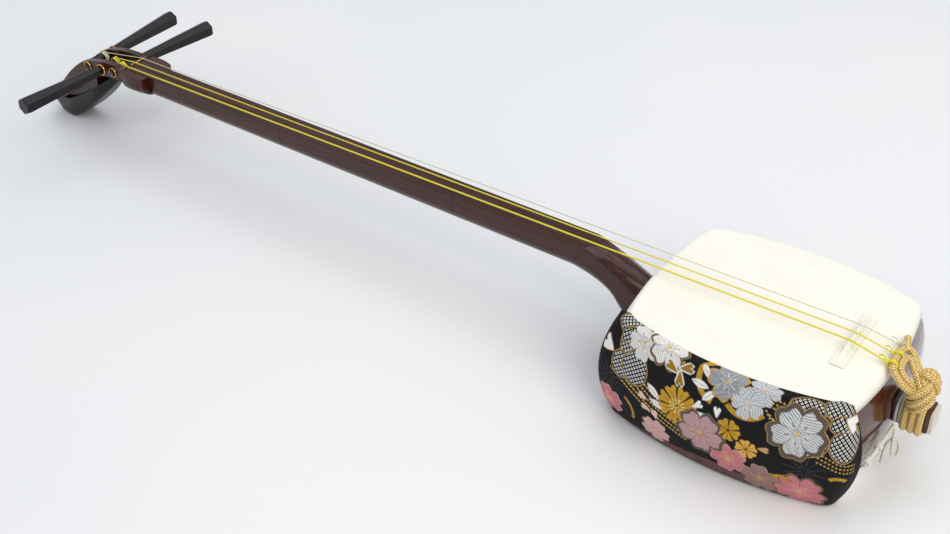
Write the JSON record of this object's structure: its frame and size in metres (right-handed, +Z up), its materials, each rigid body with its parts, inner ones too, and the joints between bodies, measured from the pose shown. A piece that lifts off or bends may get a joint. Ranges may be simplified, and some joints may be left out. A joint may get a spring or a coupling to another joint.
{
  "type": "shamisen",
  "caption": "Long-necked lute with a square skin-covered body, long slim neck, curved pegbox with side pegs, silk strings, bridge, knotted tail cord and a brocade forearm cover.",
  "frame": {"origin": "middle of the underside of the whole instrument as it lies on its back skin, measured without the loose end of the white cord", "axes": "+X along the neck towards the tail spike, +Z up out of the front skin, -Y the side of the forearm cover and of the single peg"},
  "size_m": [0.983, 0.225, 0.1059],
  "materials": {
    "body_wood": "lacquered red-brown hardwood",
    "neck_wood": "polished dark red hardwood",
    "skin": "white stretched skin, smooth",
    "lacquer_cap": "black, satin gloss",
    "gold": "polished, gold colour",
    "peg_wood": "black polished ebony",
    "silk_string": "yellow twisted silk",
    "pale_string": "pale twisted string",
    "ivory": "pale, polished",
    "spike_end": "pale end face",
    "gold_braid": "gold-coloured braided cord",
    "cover_core": "stiff board",
    "brocade": "black brocade with silver, gold and pink flowers",
    "white_cord": "white braided cord"
  },
  "bodies": {
    "instrument": {"head_board": "body_wood", "near_board": "body_wood", "tail_board": "body_wood", "far_board": "body_wood", "front_skin": "skin", "back_skin": "skin", "neck_upper": "neck_wood", "neck_middle": "neck_wood", "neck_lower": "neck_wood", "head": "neck_wood", "head_cap": "lacquer_cap", "nut": "gold", "spike": "body_wood", "spike_end": "spike_end", "ring_1_large": "gold", "ring_1_small": "gold", "string_1": "silk_string", "ring_2_large": "gold", "ring_2_small": "gold", "string_2": "silk_string", "ring_3_large": "gold", "ring_3_small": "gold", "string_3": "pale_string", "tail_knot": "gold_braid", "tail_loop": "gold_braid", "cover_core": "cover_core", "cover_brocade": "brocade", "cover_tie": "white_cord", "cover_bow": "white_cord"},
    "tuner_1": {"peg_1": "peg_wood", "winding_1": "silk_string"},
    "tuner_2": {"peg_2": "peg_wood", "winding_2": "silk_string"},
    "tuner_3": {"peg_3": "peg_wood", "winding_3": "pale_string"},
    "bridge_body": {"bridge": "ivory"}
  },
  "joints": [
    {"name": "peg_1_turn", "type": "hinge", "parent": "instrument", "child": "tuner_1", "pos_m": [-0.37838, 0.00326, 0.0851], "axis": [0.1045, 0.9945, 0], "continuous": true},
    {"name": "peg_2_turn", "type": "hinge", "parent": "instrument", "child": "tuner_2", "pos_m": [-0.39738, 0.00326, 0.0825], "axis": [0.0767, 0.9971, 0], "continuous": true},
    {"name": "peg_3_turn", "type": "hinge", "parent": "instrument", "child": "tuner_3", "pos_m": [-0.41938, 0.00326, 0.0806], "axis": [-0.0384, 0.9993, 0], "continuous": true},
    {"name": "bridge_slide", "type": "slide", "parent": "instrument", "child": "bridge_body", "axis": [-1, 0, 0], "range_m": [0, 0.012]}
  ]
}
